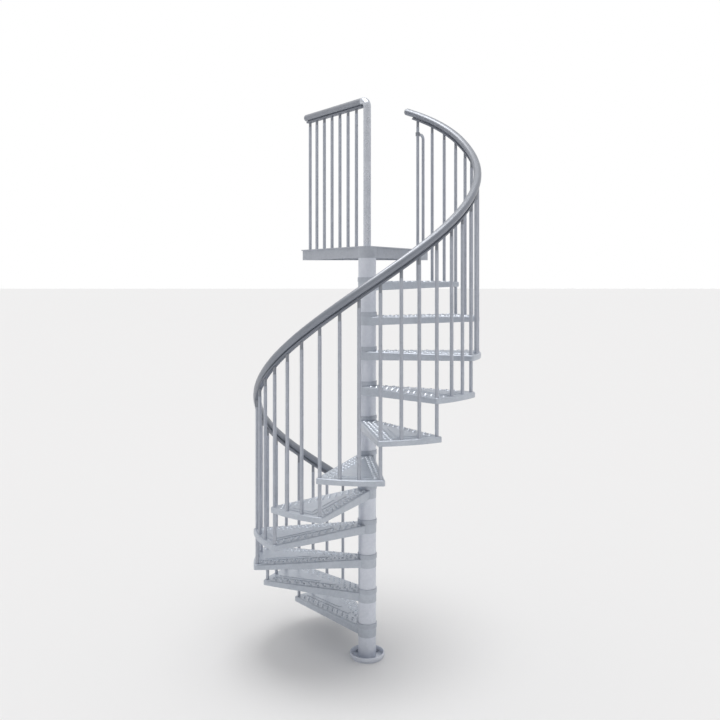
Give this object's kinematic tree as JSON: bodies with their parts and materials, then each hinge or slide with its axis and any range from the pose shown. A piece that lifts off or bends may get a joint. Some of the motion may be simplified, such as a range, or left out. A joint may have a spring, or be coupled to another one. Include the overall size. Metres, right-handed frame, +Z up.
{
  "type": "spiral staircase",
  "caption": "Left-turning galvanised steel spiral stair round a central column, with pressed treads, tubular balusters, a helical handrail and a railed top landing.",
  "frame": {"origin": "on the floor, on the column's axis, at the underside of the foot", "axes": "+Z up along the column, +Y towards the landing and the floor it serves, +X to the right seen from the foot of the stair"},
  "size_m": [1.486, 1.4702, 3.7305],
  "materials": {
    "galvanised_steel": "matt zinc",
    "rail_tube": "satin grey",
    "rail_bar": "matt zinc",
    "dark_fittings": "satin dark grey"
  },
  "bodies": {
    "root": {"base_foot": "galvanised_steel", "inner_pole": "galvanised_steel", "pole_cap": "galvanised_steel", "column_spacers": "galvanised_steel", "hub_collars": "galvanised_steel", "tread_01": "galvanised_steel", "tread_02": "galvanised_steel", "tread_03": "galvanised_steel", "tread_04": "galvanised_steel", "tread_05": "galvanised_steel", "tread_06": "galvanised_steel", "tread_07": "galvanised_steel", "tread_08": "galvanised_steel", "tread_09": "galvanised_steel", "tread_10": "galvanised_steel", "tread_11": "galvanised_steel", "landing_deck": "galvanised_steel", "landing_frame": "galvanised_steel", "newel_post": "galvanised_steel", "landing_balusters": "galvanised_steel", "balusters_01": "galvanised_steel", "balusters_02": "galvanised_steel", "balusters_03": "galvanised_steel", "balusters_04": "galvanised_steel", "balusters_05": "galvanised_steel", "balusters_06": "galvanised_steel", "balusters_07": "galvanised_steel", "balusters_08": "galvanised_steel", "balusters_09": "galvanised_steel", "balusters_10": "galvanised_steel", "balusters_11": "galvanised_steel", "hook_baluster": "galvanised_steel", "handrail": "rail_tube", "handrail_top": "rail_tube", "handrail_cap": "rail_tube", "landing_rail": "rail_tube", "handrail_bar": "rail_bar", "handrail_bar_top": "rail_bar", "landing_rail_bar": "rail_bar", "baluster_heads": "dark_fittings", "landing_baluster_heads": "dark_fittings", "hook_clamp": "dark_fittings"}
  },
  "joints": []
}
